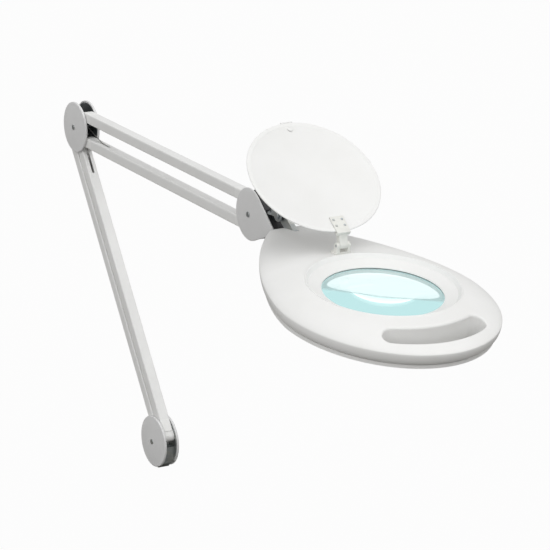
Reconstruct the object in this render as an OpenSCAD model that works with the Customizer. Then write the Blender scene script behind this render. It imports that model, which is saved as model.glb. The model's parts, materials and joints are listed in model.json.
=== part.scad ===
// Magnifying lamp on a two-stage parallel arm.
// +X runs from the base towards the lamp head, +Z is up, and the arm lies in the XZ plane.
// The origin is the mouth of the pin socket in the base bracket.

/* [Arm] */
// Pivot to pivot length of the lower arm
lower_arm_l = 402; // [250:1:600]
// Pivot to pivot length of the upper arm
upper_arm_l = 402; // [250:1:600]
// Lean of the lower arm back from vertical, degrees
lower_lean = 34.5; // [25:0.5:40]
// Slope of the upper arm, degrees, negative is down towards the head
upper_slope = -2.6; // [-20:0.2:20]
// Outside width of the square arm tubes
tube_w = 12.7; // [8:0.1:20]
// Wall thickness of the arm tubes
tube_wall = 1.1; // [0.6:0.1:2]
// Corner radius of the arm tubes
tube_corner = 1.8; // [1.2:0.1:2.5]
// Distance between the pivots of the two lower tubes
lower_pitch = 15.5; // [14:0.1:24]
// Distance between the pivots of the two upper tubes
upper_pitch = 31; // [26:0.5:40]
// Radius of the pivot pins
pin_r = 2; // [1.5:0.1:3]
// Radius of the rounded tube ends
eye_r = 5.6; // [4:0.1:6.3]

/* [Joints] */
// Radius of the round joint covers
cover_r = 31; // [27:0.5:45]
// Thickness of a joint cover at its rim
cover_t = 1.6; // [1:0.1:3]
// Thickness of the steel joint plates
plate_t = 1.5; // [1:0.1:3]
// Gap between a tube and the joint plate beside it
side_gap = 0.3; // [0.2:0.05:0.6]
// Radial clearance of a pin in its eye
run_gap = 0.05; // [0.01:0.01:0.1]
// Radius of the pin socket in the base
socket_r = 5.05; // [3:0.05:5.5]
// Depth of the pin socket
socket_depth = 20; // [12:1:21]

/* [Head] */
// Nose down pitch of the lamp head, degrees
head_pitch = 9.3; // [0:0.1:20]
// Lens centre to the front edge of the head
head_front = 137; // [125:1:180]
// Lens centre to the rear tip of the head outline
head_rear = 213; // [190:1:260]
// Half of the head width
head_half_w = 115; // [106:1:150]
// Height of the top of the head above the lens opening
head_top = 8.5; // [7:0.1:14]
// Depth of the head below the lens opening
head_depth = 26; // [24:0.5:40]
// Wall thickness of the head shells
shell_t = 2.2; // [1.5:0.1:3]
// Diameter of the lens
lens_d = 127; // [100:1:127]
// Radius of the ring lamp to the middle of its tube
ring_r = 82.5; // [80:0.5:83]
// Radius of the glass tube of the ring lamp
ring_tube_r = 8; // [5:0.5:8]
// Radius of the lid
lid_r = 74.4; // [70:0.1:75]
// Thickness of the lid
lid_t = 2.2; // [1.5:0.1:3]
// Angle that the lid stands open, degrees
lid_open = 150.6; // [0:0.1:160]

/* [Hidden] */
$fn = 64;
white = [0.93, 0.93, 0.92];
steel = [0.62, 0.63, 0.60];
dark = [0.12, 0.14, 0.15];

// Layers across the arm, measured from the middle plane
half_tube = tube_w / 2;
plate_in = half_tube + side_gap;
plate_out = plate_in + plate_t;
plate_r = cover_r - 3;
lip_in = plate_out - 1.1;
dome_h = 1.1;
move_gap = 0.3;
fit_gap = 0.02;
pin_hole = pin_r + run_gap;

// Directions along and across the lower arm, as [x, z]
down_arm = [sin(lower_lean), -cos(lower_lean)];
front_of_arm = [cos(lower_lean), sin(lower_lean)];
along_upper = [cos(upper_slope), sin(upper_slope)];

// Joint centres and pivots, as [x, z]
base_c = [0, cover_r];
base_mid_offset = 13.8;
base_pivot_drop = 2.8;
elbow_mid_offset = -17.8;
elbow_pivot_drop = 1;
base_front_p = base_c + (base_mid_offset + lower_pitch / 2) * front_of_arm + base_pivot_drop * down_arm;
base_rear_p = base_front_p - lower_pitch * front_of_arm;
elbow_front_p = base_front_p - lower_arm_l * down_arm;
elbow_rear_p = base_rear_p - lower_arm_l * down_arm;
elbow_c = elbow_front_p - (elbow_mid_offset + lower_pitch / 2) * front_of_arm - elbow_pivot_drop * down_arm;
upper_inset = 18;
elbow_top_p = elbow_c + [upper_inset, upper_pitch / 2];
elbow_bottom_p = elbow_c + [upper_inset, -upper_pitch / 2];
head_top_p = elbow_top_p + upper_arm_l * along_upper;
head_bottom_p = elbow_bottom_p + upper_arm_l * along_upper;
head_c = (head_top_p + head_bottom_p) / 2 + [upper_inset, 0];

// Head joint
nose = [47, -8.5];
nose_r = 5;
head_cover_r = cover_r - 1.5;
swivel_x = 40;
swivel_r = 3;
yoke_z = 8;
yoke_t = 2;
yoke_disc_r = 8;
tilt_at = [57, 11];
tilt_r = 3;
cheek_r = 7.5;
cheek_in = 5;
cheek_out = 7;
tongue_half = 3;

// Lens centre, from the tilt bolt
lens_from_tilt = [203.2, -37.8];
lens_c = head_c + tilt_at + lens_from_tilt;
tilt_local = [-(lens_from_tilt[0] * cos(head_pitch)) + lens_from_tilt[1] * sin(head_pitch),
    -(lens_from_tilt[0] * sin(head_pitch)) - lens_from_tilt[1] * cos(head_pitch)];

// Head shells
sectors = 48;
profile_steps = 7;
skirt_steps = 3;
neck_cut = head_rear - 13;
recess_r = lid_r + 4.6;
bead_w = 1.8;
bead_h = 0.15;
waist_z = -9;
rim_z = 4 - head_depth;
skirt_tuck = 0.06;
ledge_z = head_top - 4;
lens_r = lens_d / 2;
seat_r = lens_r + 0.5;
aperture_r = lens_r - 0.7;
lip_z = -1.4;
seal_t = 1;
lens_edge = 3;
lens_curve_r = 350;
slot_in_r = 100;
slot_c = head_front - 112.9;
slot_out_r = 98.4;
slot_half = 50;
slot_end_r = 9.6;
slot_end_x = 97.5;
slot_wall = 2;
window_in = ring_r - ring_tube_r - 3;
window_out = ring_r + ring_tube_r + 0.4;
ring_z = rim_z + 8.5;

// Lid hinge, in the head's own frame
lid_z = ledge_z + 0.5;
hinge = [-83.6, 17.4];
hinge_pin_r = 1.5;
hinge_half = 5;
knuckle_r = 3.6;

// ---------- shared shapes ----------

module at(p) {
    translate([p[0], 0, p[1]]) children();
}

// A cylinder along Y between two Y values
module rod(p, r, y0, y1) {
    translate([p[0], y0, p[1]]) rotate([-90, 0, 0]) cylinder(r = r, h = y1 - y0);
}

// A flat shape drawn in X and Z, made solid between two Y values
module plate(y0, y1) {
    translate([0, y1, 0]) rotate([90, 0, 0]) linear_extrude(y1 - y0) children();
}

module both_sides() {
    children();
    mirror([0, 1, 0]) children();
}

module square_profile(w, r) {
    square([w, w - 2 * r], center = true);
    square([w - 2 * r, w], center = true);
    for (sx = [-1, 1], sy = [-1, 1])
        translate([sx * (w / 2 - r), sy * (w / 2 - r)]) circle(r, $fn = 32);
}

// Two circles joined by their outer tangents
module drop_shape(c1, r1, c2, r2) {
    gap = c2 - c1;
    lean = atan2(gap[1], gap[0]);
    spread = acos((r1 - r2) / norm(gap));
    up = [cos(lean + spread), sin(lean + spread)];
    low = [cos(lean - spread), sin(lean - spread)];
    translate(c1) circle(r1, $fn = 96);
    translate(c2) circle(r2);
    polygon([c1 + r1 * up, c2 + r2 * up, c2 + r2 * low, c1 + r1 * low]);
}

// Puts a part drawn along +X from a pivot onto the arm
module along(p, dir) {
    translate([p[0], 0, p[1]]) rotate([0, -atan2(dir[1], dir[0]), 0]) children();
}

fitting_start = 5;
fitting_l = 20;
plug_l = 15;

module arm_tube(l, slot_at = 0, slot_l = 0) {
    color(white) difference() {
        translate([fitting_l, 0, 0]) rotate([90, 0, 90])
            linear_extrude(l - 2 * fitting_l) difference() {
                square_profile(tube_w, tube_corner);
                square_profile(tube_w - 2 * tube_wall, tube_corner - tube_wall);
            }
        if (slot_l > 0)
            translate([slot_at, -1.6, 0]) cube([slot_l, 3.2, tube_w]);
    }
}

// The moulded end pieces of one tube, with a pivot eye at each end
module arm_ends(l) {
    plug_w = tube_w - 2 * tube_wall - 0.2;
    for (at_end = [0, 1])
        color(white) translate([at_end * l, 0, 0]) mirror([at_end, 0, 0]) difference() {
            union() {
                rod([0, 0], eye_r, -half_tube, half_tube);
                translate([0, -half_tube, -eye_r]) cube([fitting_start + 1, tube_w, 2 * eye_r]);
                translate([fitting_start, 0, 0]) rotate([90, 0, 90])
                    linear_extrude(fitting_l - fitting_start) square_profile(tube_w, tube_corner);
                translate([fitting_l - 1, -plug_w / 2, -plug_w / 2]) cube([plug_l, plug_w, plug_w]);
            }
            rod([0, 0], pin_hole, -tube_w, tube_w);
            translate([fitting_start + 3, -spring_bore, -spring_bore])
                cube([fitting_l + plug_l, 2 * spring_bore, 2 * spring_bore]);
        }
}

// ---------- springs ----------
spring_r = 3;
spring_bore = 3.6;
spring_wire = 0.6;
spring_coils = 36;
spring_pitch = 2.6;
spring_start = 62;

// A close coiled spring inside a tube, with its hook wire out through the slot
module coil_spring(hook_to) {
    wire_from = [spring_start + 1, 0];
    wire = hook_to - wire_from;
    color(steel) {
        translate([spring_start, 0, 0]) rotate([0, 90, 0]) rotate_extrude() difference() {
            union() {
                translate([0, 0]) square([spring_r - spring_wire, spring_coils * spring_pitch]);
                for (i = [0 : spring_coils - 1])
                    translate([spring_r - spring_wire, (i + 0.5) * spring_pitch])
                        circle(spring_wire, $fn = 16);
            }
            translate([-20, -1]) square([20, spring_coils * spring_pitch + 2]);
        }
        along(wire_from, wire) rotate([0, 90, 0]) cylinder(r = spring_wire, h = norm(wire) - post_r - move_gap, $fn = 24);
    }
}

// ---------- joint covers, plates, pins and screws ----------

module round_cover() {
    rotate([-90, 0, 0]) rotate_extrude($fn = 96) union() {
        translate([0, plate_out]) square([cover_r, cover_t - 0.6]);
        translate([0, plate_out]) square([cover_r - 0.6, cover_t]);
        translate([cover_r - 0.6, plate_out + cover_t - 0.6]) circle(0.6, $fn = 24);
        polygon([[0, plate_out], [cover_r - 3, plate_out + cover_t],
            [cover_r - 9, plate_out + cover_t + dome_h * 0.45],
            [cover_r - 17, plate_out + cover_t + dome_h * 0.8],
            [8, plate_out + cover_t + dome_h], [0, plate_out + cover_t + dome_h]]);
        translate([cover_r - 1.8, lip_in]) square([1.8, plate_out - lip_in + 0.5]);
    }
}

screw_r = 3.2;
screw_core = 1.5;
cover_face = plate_out + cover_t + dome_h;

module cover_hole(c) {
    rod(c, screw_core, -2 * cover_face, 2 * cover_face);
}

module cover_screws(c) {
    both_sides() difference() {
        union() {
            rod(c, screw_r, cover_face, cover_face + 1);
            rod(c, screw_core, plate_in + 0.2, cover_face + 0.5);
        }
        translate([c[0] - 0.5, cover_face + 0.5, c[1] - screw_r]) cube([1, 1, 2 * screw_r]);
    }
}

module pivot_pins(points) {
    for (p = points) color(steel) rod(p, pin_r, -plate_out, plate_out);
}

module pin_holes(points) {
    for (p = points) rod(p, pin_r, -plate_out - 1, plate_out + 1);
}

base_pivots = [base_front_p, base_rear_p];
elbow_pivots = [elbow_front_p, elbow_rear_p, elbow_top_p, elbow_bottom_p];
head_pivots = [head_top_p, head_bottom_p];
upper_spring_post = elbow_c + [14, 3];
lower_spring_post = elbow_c + [8, -9.3];
spring_posts = [upper_spring_post, lower_spring_post];
post_r = 1.2;

// ---------- base ----------
socket_half = 9;
socket_top = 22;
web_x = 21;
web_t = 1.6;
web_low = 9;
web_high = 28;

module base_bracket() {
    color(steel) difference() {
        union() {
            both_sides() rod(base_c, plate_r, plate_in, plate_out);
            translate([-socket_half, -plate_in - 0.5, 0])
                cube([2 * socket_half, 2 * plate_in + 1, socket_top]);
            translate([web_x, -plate_in - 0.5, web_low])
                cube([web_t, 2 * plate_in + 1, web_high - web_low]);
        }
        translate([0, 0, -1]) cylinder(r = socket_r, h = socket_depth + 1);
        pin_holes(base_pivots);
        cover_hole(base_c);
    }
}

module base_cover_near() {
    color(white) difference() {
        at(base_c) mirror([0, 1, 0]) round_cover();
        cover_hole(base_c);
    }
}

module base_cover_far() {
    color(white) difference() {
        at(base_c) round_cover();
        cover_hole(base_c);
    }
}

module base_cover_screws() {
    color(steel) cover_screws(base_c);
}

module base_pivot_pins() {
    pivot_pins(base_pivots);
}

// ---------- lower arm ----------

// Where a point on the elbow lies, seen from a tube's own pivot
function in_tube(p, pivot, dir) = [(p - pivot) * dir, (p - pivot) * [-dir[1], dir[0]]];

module lower_front_tube() {
    along(elbow_front_p, down_arm) arm_tube(lower_arm_l, fitting_l + 6, 34);
}

module lower_front_ends() {
    along(elbow_front_p, down_arm) arm_ends(lower_arm_l);
}

module lower_spring() {
    along(elbow_front_p, down_arm)
        coil_spring(in_tube(lower_spring_post, elbow_front_p, down_arm));
}

module lower_rear_tube() {
    along(elbow_rear_p, down_arm) arm_tube(lower_arm_l);
}

module lower_rear_ends() {
    along(elbow_rear_p, down_arm) arm_ends(lower_arm_l);
}

// ---------- elbow ----------
hub_r = 3.4;

module elbow_bracket() {
    color(dark) difference() {
        union() {
            both_sides() rod(elbow_c, plate_r, plate_in, plate_out);
            rod(elbow_c, hub_r, -plate_in - 0.5, plate_in + 0.5);
        }
        pin_holes(elbow_pivots);
        for (p = spring_posts) rod(p, post_r, -plate_out - 1, plate_out + 1);
        cover_hole(elbow_c);
    }
}

module elbow_cover_near() {
    color(white) difference() {
        at(elbow_c) mirror([0, 1, 0]) round_cover();
        cover_hole(elbow_c);
    }
}

module elbow_cover_far() {
    color(white) difference() {
        at(elbow_c) round_cover();
        cover_hole(elbow_c);
    }
}

module elbow_cover_screws() {
    color(steel) cover_screws(elbow_c);
}

module elbow_pivot_pins() {
    pivot_pins(elbow_pivots);
}

module elbow_spring_pins() {
    for (p = spring_posts) color(steel) rod(p, post_r, -plate_out, plate_out);
}

// ---------- upper arm ----------

module upper_bottom_tube() {
    along(elbow_bottom_p, along_upper) arm_tube(upper_arm_l, fitting_l + 4, 36);
}

module upper_bottom_ends() {
    along(elbow_bottom_p, along_upper) arm_ends(upper_arm_l);
}

module upper_spring() {
    along(elbow_bottom_p, along_upper)
        coil_spring(in_tube(upper_spring_post, elbow_bottom_p, along_upper));
}

module upper_top_tube() {
    along(elbow_top_p, along_upper) arm_tube(upper_arm_l);
}

module upper_top_ends() {
    along(elbow_top_p, along_upper) arm_ends(upper_arm_l);
}

// ---------- head joint ----------

module head_cover_outline(shrink = 0) {
    translate(head_c) hull() {
        circle(head_cover_r - shrink, $fn = 72);
        translate(nose) circle(nose_r - min(shrink, nose_r - 2), $fn = 32);
    }
}

module head_bracket() {
    color(dark) difference() {
        both_sides() plate(plate_in, plate_out) head_cover_outline(2);
        pin_holes(head_pivots);
        cover_hole(head_c);
        for (p = block_pins) rod(p, pin_r, -plate_out - 1, plate_out + 1);
    }
}

module head_cover() {
    difference() {
        union() {
            plate(plate_out, plate_out + cover_t) head_cover_outline();
            rod(head_c, head_cover_r - 6, plate_out, plate_out + cover_t + dome_h * 0.5);
            rod(head_c, head_cover_r - 13, plate_out, plate_out + cover_t + dome_h);
        }
        cover_hole(head_c);
    }
}

module head_cover_near() {
    color(white) mirror([0, 1, 0]) head_cover();
}

module head_cover_far() {
    color(white) head_cover();
}

module head_cover_screws() {
    color(steel) cover_screws(head_c);
}

module head_pivot_pins() {
    pivot_pins(concat(head_pivots, block_pins));
}

block_from = 9;
block_pins = [head_c + [16, 8], head_c + [18, -14]];

module swivel_block() {
    color(dark) difference() {
        intersection() {
            plate(-plate_in, plate_in) head_cover_outline(1);
            translate([head_c[0] + block_from, -20, head_c[1] - 50]) cube([60, 40, 100]);
        }
        translate([head_c[0] + swivel_x, 0, head_c[1] - 50])
            cylinder(r = swivel_r + run_gap, h = 100);
        for (p = block_pins) rod(p, pin_r, -20, 20);
        at(head_c + [swivel_x - yoke_disc_r - 1, yoke_z - move_gap]) translate([0, -20, 0])
            cube([60, 40, 50]);
        at(head_c + [swivel_x - nut_r - 1, nut_top + move_gap - 50]) translate([0, -20, 0])
            cube([60, 40, 50]);
    }
}

nut_top = -16.5;
nut_h = 7;
nut_r = 7;

module swivel_yoke() {
    color(steel) difference() {
        union() {
            at(head_c + [swivel_x, yoke_z]) cylinder(r = yoke_disc_r, h = yoke_t);
            at(head_c + [swivel_x, yoke_z]) translate([0, -cheek_out, 0])
                cube([tilt_at[0] - swivel_x - cheek_r, 2 * cheek_out, yoke_t]);
            both_sides() {
                rod(head_c + tilt_at, cheek_r, cheek_in, cheek_out);
                at(head_c + [swivel_x + 4, yoke_z]) translate([0, cheek_in, 0])
                    cube([tilt_at[0] - swivel_x - 4, cheek_out - cheek_in, tilt_at[1] + cheek_r - yoke_z]);
            }
        }
        at(head_c + [swivel_x, 0]) cylinder(r = swivel_r, h = 40);
        rod(head_c + tilt_at, tilt_r, -20, 20);
    }
}

module swivel_bolt() {
    color(dark) at(head_c + [swivel_x, 0]) {
        translate([0, 0, yoke_z + yoke_t]) difference() {
            cylinder(r = 5, h = 3);
            translate([0, 0, 1.5]) cylinder(r = 2.5, h = 3, $fn = 6);
        }
        translate([0, 0, nut_top - nut_h + 1]) cylinder(r = swivel_r, h = yoke_z + yoke_t - nut_top + nut_h);
    }
}

module swivel_nut() {
    color(dark) at(head_c + [swivel_x, nut_top - nut_h]) difference() {
        union() {
            cylinder(r = nut_r, h = nut_h - 1.5);
            cylinder(r = nut_r - 1.2, h = nut_h);
        }
        translate([0, 0, -1]) cylinder(r = swivel_r, h = nut_h + 2);
    }
}

module tilt_bolt() {
    color(steel) {
        rod(head_c + tilt_at, tilt_r, -cheek_out - 0.5, cheek_out + 5);
        rod(head_c + tilt_at, 4.6, -cheek_out - 2, -cheek_out);
    }
}

module tilt_knob() {
    color(dark) difference() {
        union() {
            rod(head_c + tilt_at, 5.5, cheek_out, cheek_out + 3);
            rod(head_c + tilt_at, 8, cheek_out + 2, cheek_out + 9);
        }
        rod(head_c + tilt_at, tilt_r, cheek_out - 1, cheek_out + 5);
        for (a = [0 : 60 : 300])
            rod(head_c + tilt_at + 9 * [cos(a), sin(a)], 2, cheek_out + 1, cheek_out + 12);
    }
}

// ---------- head ----------

module head_frame() {
    translate([lens_c[0], 0, lens_c[1]]) rotate([0, head_pitch, 0]) children();
}

module tilt_washers() {
    color(dark) head_frame() both_sides() difference() {
        rod(tilt_local, 6, tongue_half, cheek_in - 0.1);
        rod(tilt_local, tilt_r + run_gap, 0, 20);
    }
}

tongue_root = [-172, -13];

module neck_tongue() {
    color(steel) head_frame() {
        difference() {
            plate(-tongue_half, tongue_half) drop_shape(tilt_local, 6.5, tongue_root, 6);
            rod(tilt_local, tilt_r + run_gap, -20, 20);
        }
        translate([tongue_root[0] - 6, -16, -22.6]) cube([38, 32, 2.4]);
        translate([tongue_root[0] - 6, -tongue_half, -21]) cube([12, 2 * tongue_half, 9]);
    }
}

// The head seen from above: an ellipse in front, and sides that draw in to the neck behind
neck_fall = [1.25, 1.6];
function outline(a) = cos(a) >= 0 ? [head_front * cos(a), head_half_w * sin(a)]
    : [max(-neck_cut, -head_rear * pow(-cos(a), neck_fall[0])),
        head_half_w * sign(sin(a)) * pow(abs(sin(a)), neck_fall[1])];
function crown_level(f) = pow(1 - pow(sin(f), 1.4), 0.95);

// One ring of the head: from the recess edge out to the waist
function crown_ring(f, inset, drop) = [for (i = [0 : sectors - 1])
    let (a = 360 * i / sectors, o = outline(a), k = 1 - inset / norm(o),
        c = (recess_r - 2 + inset) * [cos(a), sin(a)], p = c + (o * k - c) * sin(f))
    [p[0], p[1], waist_z + (head_top - drop - waist_z) * crown_level(f)]];

// One ring of the skirt: from the waist in to the rim
function skirt_ring(f, inset, low) = [for (i = [0 : sectors - 1])
    let (a = 360 * i / sectors, o = outline(a),
        k = (1 - skirt_tuck * (1 - cos(f))) * (1 - inset / norm(o)))
    [o[0] * k, o[1] * k, waist_z + (low - waist_z) * sin(f)]];

// A closed solid through a stack of rings
module stack(rings) {
    n = len(rings[0]);
    last = len(rings) - 1;
    points = [for (r = rings) each r];
    sides = [for (j = [0 : last - 1], i = [0 : n - 1]) let (i2 = (i + 1) % n)
        each [[j * n + i, j * n + i2, (j + 1) * n + i2], [j * n + i, (j + 1) * n + i2, (j + 1) * n + i]]];
    polyhedron(points, concat(sides, [[for (i = [n - 1 : -1 : 0]) i], [for (i = [0 : n - 1]) last * n + i]]));
}

module crown_solid(inset, drop, low) {
    stack(concat([for (j = [0 : profile_steps]) crown_ring(90 * j / profile_steps, inset, drop)],
        [for (j = [1 : skirt_steps]) skirt_ring(90 * j / skirt_steps, inset, low)]));
}

module slot_shape(grow = 0) {
    intersection() {
        difference() {
            translate([slot_c, 0]) circle(slot_out_r + grow, $fn = 180);
            circle(slot_in_r - grow, $fn = 180);
        }
        translate([40, -slot_half]) square([200, 2 * slot_half]);
    }
    for (s = [-1, 1])
        translate([slot_end_x, s * slot_half]) circle(slot_end_r + grow);
}

module recess_bowl() {
    rotate_extrude($fn = 120) polygon([[recess_r + bead_w, head_top + bead_h],
        [recess_r + 0.5, head_top + bead_h], [recess_r, head_top - 0.4], [recess_r - 2.4, ledge_z + 0.8],
        [recess_r - 3, ledge_z], [recess_r - 4.4, ledge_z - 0.3], [aperture_r + 1.2, 0], [aperture_r, -0.7],
        [aperture_r, lip_z], [seat_r, lip_z], [seat_r, lip_z - 7], [seat_r + shell_t, lip_z - 7],
        [seat_r + shell_t, 0], [recess_r - 2, ledge_z - 2], [recess_r + bead_w, ledge_z + 1]]);
}

boss_x = [-150, -20, 60];
boss_y = [46, 98, 84];

module top_shell() {
    color(white) head_frame() difference() {
        union() {
            difference() {
                crown_solid(0, 0, rim_z);
                crown_solid(shell_t, shell_t, rim_z - 1);
                translate([0, 0, rim_z - 5]) cylinder(r = recess_r + bead_w / 2, h = 80, $fn = 120);
            }
            recess_bowl();
            intersection() {
                crown_solid(0.4, 0.4, rim_z);
                translate([0, 0, rim_z - 1]) linear_extrude(60) slot_shape(slot_wall);
            }
        }
        translate([0, 0, rim_z - 10]) linear_extrude(80) slot_shape();
        translate([-neck_cut - 10, -tongue_half - 0.8, waist_z - 1]) cube([44, 2 * tongue_half + 1.6, 40]);
        translate([foot_x - fit_gap, -foot_half - fit_gap, head_top - foot_sunk - fit_gap])
            cube([foot_l + 2 * fit_gap, 2 * (foot_half + fit_gap), 20]);
        translate([clip_x - 0.6, -clip_w / 2 - 0.4, lid_z - 1.35]) cube([24, clip_w + 0.8, 4]);
    }
}

base_t = 1.8;
rim_k = 0.955;

module rim_outline(inset) {
    polygon([for (i = [0 : 2 * sectors - 1])
        let (a = 180 * i / sectors, o = outline(a)) o * (rim_k - inset / norm(o))]);
}

module bottom_shell() {
    color(white) head_frame() difference() {
        union() {
            translate([0, 0, -head_depth]) linear_extrude(base_t) rim_outline(0);
            translate([0, 0, -head_depth]) linear_extrude(head_depth + rim_z - 0.1) difference() {
                rim_outline(0);
                rim_outline(shell_t);
            }
            translate([0, 0, -head_depth]) difference() {
                cylinder(r = window_in, h = head_depth - 11, $fn = 96);
                translate([0, 0, -1]) cylinder(r = window_in - 2, h = 60, $fn = 96);
            }
        }
        translate([0, 0, -head_depth - 1]) linear_extrude(40) slot_shape(slot_wall + 0.2);
        translate([0, 0, -head_depth - 1]) cylinder(r = window_in - 2, h = 20, $fn = 96);
        translate([0, 0, -head_depth - 1]) difference() {
            cylinder(r = window_out, h = base_t + 2, $fn = 96);
            translate([0, 0, -1]) cylinder(r = window_in, h = 20, $fn = 96);
            for (a = [60, 180, 300]) rotate(a) translate([0, -4, -1]) cube([120, 8, 20]);
        }
        translate([switch_x - switch_l / 2, -switch_w / 2, -head_depth - 1])
            cube([switch_l, switch_w, 10]);
        for (i = [0 : 2], s = [-1, 1])
            translate([boss_x[i], s * boss_y[i], -head_depth - 1]) cylinder(r = 1.7, h = 10);
    }
}

module shell_screws() {
    color(steel) head_frame() for (i = [0 : 2], s = [-1, 1])
        translate([boss_x[i], s * boss_y[i], -head_depth - 1.6]) {
            cylinder(r = 3, h = 1.6);
            cylinder(r = 1.65, h = 8);
        }
}

lens_top = lip_z - seal_t;
lens_low = lens_top - lens_edge;
lens_sag = lens_curve_r - sqrt(lens_curve_r * lens_curve_r - lens_r * lens_r);

module lens() {
    color([0.75, 0.92, 0.92, 0.5]) head_frame() intersection() {
        translate([0, 0, lens_low - 20]) cylinder(r = lens_r, h = 60, $fn = 128);
        translate([0, 0, lens_top + lens_sag - lens_curve_r]) sphere(lens_curve_r, $fn = 256);
        translate([0, 0, lens_low - lens_sag + lens_curve_r]) sphere(lens_curve_r, $fn = 256);
    }
}

module ring(r_in, r_out, z0, z1) {
    translate([0, 0, z0]) difference() {
        cylinder(r = r_out, h = z1 - z0, $fn = 128);
        translate([0, 0, -1]) cylinder(r = r_in, h = z1 - z0 + 2, $fn = 128);
    }
}

module lens_seal() {
    color(dark) head_frame() ring(aperture_r + 0.2, seat_r, lens_top + 0.12, lip_z);
}

module lens_retainer() {
    color(white) head_frame() ring(aperture_r - 0.5, seat_r, lens_low - 2, lens_low - 0.25);
}

pan_z = ring_z + ring_tube_r + 1.5;

module reflector() {
    color(white) head_frame() difference() {
        ring(seat_r + shell_t + 1.5, window_out + 1.8, pan_z - 6, pan_z + 0.8);
        ring(seat_r + shell_t + 2.3, window_out + 1, pan_z - 8, pan_z);
    }
}

module ring_lamp() {
    color([0.97, 0.97, 0.95]) head_frame() translate([0, 0, ring_z]) rotate([0, 0, -171])
        rotate_extrude(angle = 342, $fn = 96) translate([ring_r, 0]) circle(ring_tube_r, $fn = 48);
}

module lamp_plug() {
    color(white) head_frame() translate([-ring_r - 7, -11.2, ring_z - 7]) cube([14, 22.4, 14]);
}

module lamp_holder() {
    color(white) head_frame() difference() {
        translate([-ring_r - 17, -9, ring_z - 8]) cube([10, 18, 11]);
        for (s = [-1, 1]) translate([-ring_r - 12, s * 4, ring_z - 20]) cylinder(r = 1.2, h = 40);
    }
}

module lamp_clips() {
    color(steel) head_frame() for (a = [70, -70, 0])
        rotate(a) translate([ring_r, 0, ring_z]) rotate([90, 0, 0]) translate([0, 0, -4]) difference() {
            cylinder(r = ring_tube_r + 1.3, h = 8);
            translate([0, 0, -1]) cylinder(r = ring_tube_r + 0.3, h = 10);
            translate([-20, -20, -1]) cube([40, 18, 10]);
        }
}

module diffuser() {
    color([0.95, 0.96, 0.96]) head_frame()
        ring(window_in + 0.3, window_out + 1.5, base_t - head_depth, base_t + 1.4 - head_depth);
}

module ballast() {
    color(dark) head_frame() difference() {
        translate([-162, -21, -19]) cube([48, 42, 12.5]);
        for (s = [-1, 1]) translate([-116, s * 12, -30]) cylinder(r = 1.5, h = 40);
    }
}

switch_x = -128;
switch_l = 21;
switch_w = 15;
rocker_z = -head_depth + 0.4;

module switch_frame() {
    color(dark) head_frame() difference() {
        union() {
            translate([switch_x - 12.5, -9.5, -head_depth - 1.2]) cube([25, 19, 1.2]);
            translate([switch_x - switch_l / 2 + 0.1, -switch_w / 2 + 0.1, -head_depth - 0.2])
                cube([switch_l - 0.2, switch_w - 0.2, 7]);
        }
        translate([switch_x - 9, -6, -head_depth - 3]) cube([18, 12, 8.2]);
    }
}

module switch_rocker() {
    color(dark) head_frame() difference() {
        union() {
            rod([switch_x, rocker_z], 3, -5.6, 5.6);
            plate(-5.6, 5.6) polygon([[switch_x - 7.6, rocker_z - 1], [switch_x, rocker_z + 1.5],
                [switch_x + 7.6, rocker_z + 0.6], [switch_x + 7.6, rocker_z - 1.4], [switch_x, rocker_z - 2.4],
                [switch_x - 7.6, rocker_z - 3.6]]);
        }
        rod([switch_x, rocker_z], 0.8, -10, 10);
    }
}

// ---------- lid ----------

// Turns a part drawn with the lid shut into its open place
module lid_frame() {
    head_frame() translate([hinge[0], 0, hinge[1]]) rotate([0, -lid_open, 0])
        translate([-hinge[0], 0, -hinge[1]]) children();
}

module lid() {
    color(white) lid_frame() translate([0, 0, lid_z]) difference() {
        rotate_extrude($fn = 120) union() {
            square([lid_r - lid_t / 2, lid_t]);
            translate([lid_r - lid_t / 2, lid_t / 2]) circle(lid_t / 2, $fn = 32);
        }
        for (p = rivet_at) translate([p[0], p[1], -5]) cylinder(r = rivet_r, h = 20, $fn = 24);
    }
}

rivet_r = 0.9;
rivet_at = [for (x = [-68, -60], y = [-5, 5]) [x, y]];
clip_w = 16;
clip_x = -77.5;

module lid_hinge_arm() {
    top = lid_z + lid_t;
    color([0.88, 0.88, 0.84]) lid_frame() difference() {
        union() {
            rod(hinge, knuckle_r, -hinge_half + 0.3, hinge_half - 0.3);
            plate(-hinge_half + 0.3, hinge_half - 0.3) polygon([hinge + [-1.2, -3.2], hinge + [3.2, 1],
                [-70, top + 3.2], [-70, top + 0.05], [clip_x, top + 0.05]]);
            translate([clip_x, -clip_w / 2, top + 0.05]) cube([22, clip_w, 1.6]);
            translate([clip_x, -clip_w / 2, lid_z - 1.05]) cube([22, clip_w, 1]);
            translate([clip_x, -clip_w / 2, lid_z - 1.05]) cube([2.2, clip_w, lid_t + 2.7]);
        }
        rod(hinge, hinge_pin_r + run_gap, -20, 20);
        for (p = rivet_at) translate([p[0], p[1], 0]) cylinder(r = rivet_r, h = 40, $fn = 24);
    }
}

module lid_rivets() {
    color(steel) lid_frame() for (p = rivet_at) translate([p[0], p[1], 0]) {
        translate([0, 0, lid_z - 1.8]) cylinder(r = 1.6, h = 0.75, $fn = 24);
        translate([0, 0, lid_z - 1.4]) cylinder(r = rivet_r, h = lid_t + 3.4, $fn = 24);
        translate([0, 0, lid_z + lid_t + 1.65]) cylinder(r = 1.6, h = 0.7, $fn = 24);
    }
}

foot_x = hinge[0] - 6.5;
foot_l = 9;
foot_half = 9.5;
foot_sunk = 1.2;

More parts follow.
